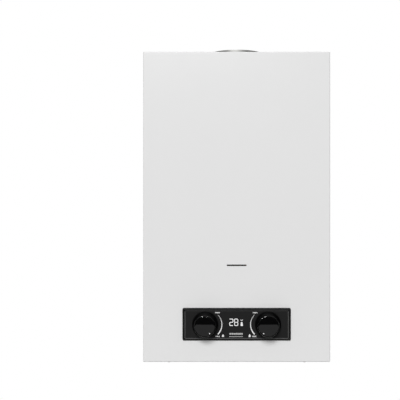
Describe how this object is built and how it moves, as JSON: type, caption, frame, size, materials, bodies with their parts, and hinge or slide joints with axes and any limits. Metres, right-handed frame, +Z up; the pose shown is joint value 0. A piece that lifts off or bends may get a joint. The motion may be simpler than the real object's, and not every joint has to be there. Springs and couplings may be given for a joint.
{
  "type": "gas water heater",
  "caption": "Wall-hung instantaneous gas water heater: flat white sheet casing, black control panel with tapered knobs and a number display, flue collar on top, pipe threads below.",
  "frame": {"origin": "middle of the four wall-fixing holes, on the plane of the wall", "axes": "+Z up, +Y into the wall, -Y out of the front, +X to the right as seen from the front"},
  "size_m": [0.33, 0.1937, 0.573],
  "materials": {
    "white_enamel": "smooth gloss enamel on sheet steel",
    "zinc_sheet": "galvanised sheet",
    "collar_steel": "rolled galvanised sheet",
    "screw_steel": "zinc-plated screws",
    "burner_steel": "stainless sheet, heat tinted at the flame slots",
    "copper": "bright copper with brazed joints",
    "brass": "machined brass",
    "cast_brass": "cast brass",
    "cast_aluminium": "die-cast",
    "insulator": "glazed white",
    "electrode": "heat-resistant wire",
    "rubber_black": "matte",
    "lead_red": "satin silicone",
    "knob_black": "high gloss",
    "panel_black": "semi gloss",
    "plastic_black": "fine grain",
    "plastic_white": "fine grain",
    "plastic_grey": "fine grain",
    "board_green": "solder mask",
    "display_dark": "dark window",
    "cell_wrap": "plain wrap over a metal can",
    "contact_metal": "sprung contact strip",
    "pane": "clear heat-resistant pane"
  },
  "bodies": {
    "heater": {"front_cover": "white_enamel", "back_plate": "zinc_sheet", "bottom_plate": "zinc_sheet", "cover_screws": "screw_steel", "chassis_screws": "screw_steel", "sight_glass": "pane", "sight_retainer": "zinc_sheet", "chamber_brackets": "zinc_sheet", "combustion_chamber": "copper", "exchanger_fins": "copper", "exchanger_tubes": "copper", "return_bends": "copper", "flue_hood": "zinc_sheet", "flue_baffle": "zinc_sheet", "flue_collar": "collar_steel", "flue_thermostat": "plastic_black", "burner_frame": "burner_steel", "burner_bars": "burner_steel", "gas_manifold": "cast_aluminium", "gas_injectors": "brass", "gas_feed_pipe": "zinc_sheet", "electrode_plate": "zinc_sheet", "electrode_insulators": "insulator", "electrode_rods": "electrode", "gas_valve_body": "cast_aluminium", "gas_solenoid": "plastic_grey", "water_valve_body": "cast_brass", "diaphragm": "rubber_black", "diaphragm_cover": "cast_brass", "diaphragm_screws": "screw_steel", "inlet_filter": "burner_steel", "drain_plug": "brass", "valve_bridge": "zinc_sheet", "bridge_screws": "screw_steel", "microswitch": "plastic_black", "cold_pipe": "copper", "hot_pipe": "copper", "hot_outlet": "cast_brass", "union_nuts": "brass", "union_seals": "rubber_black", "hot_thermostat": "plastic_black", "control_box": "plastic_white", "control_box_lid": "plastic_white", "battery_box": "plastic_black", "battery_cells": "cell_wrap", "battery_contacts": "contact_metal", "ignition_leads": "lead_red", "panel_bezel": "panel_black", "panel_fascia": "panel_black", "display_board": "board_green", "display_module": "display_dark"},
    "gas_control": {"gas_knob": "knob_black", "gas_spindle": "brass"},
    "water_control": {"water_knob": "knob_black", "water_spindle": "brass"},
    "water_rod": {"push_rod": "brass"},
    "switch_arm": {"switch_lever": "burner_steel"},
    "battery_door": {"battery_lid": "plastic_black"}
  },
  "joints": [
    {"name": "gas_knob_turn", "type": "hinge", "parent": "heater", "child": "gas_control", "pos_m": [-0.0551, -0.1702, -0.2066], "axis": [0, -1, 0], "range_deg": [0, 118]},
    {"name": "water_knob_turn", "type": "hinge", "parent": "heater", "child": "water_control", "pos_m": [0.0551, -0.1702, -0.2066], "axis": [0, 1, 0], "range_deg": [0, 118]},
    {"name": "push_rod_slide", "type": "slide", "parent": "heater", "child": "water_rod", "axis": [-1, 0, 0], "range_m": [0, 0.004], "stiffness_N_per_m": 400},
    {"name": "switch_lever_turn", "type": "hinge", "parent": "heater", "child": "switch_arm", "pos_m": [-0.00005, -0.079, -0.2246], "axis": [0, -1, 0], "range_deg": [0, 12.7]},
    {"name": "battery_lid_swing", "type": "hinge", "parent": "heater", "child": "battery_door", "pos_m": [0, -0.1143, -0.271], "axis": [1, 0, 0], "range_deg": [0, 90]}
  ],
  "couplings": [
    {"joint": "switch_lever_turn", "follows": "push_rod_slide", "rad_per_m": 55}
  ]
}
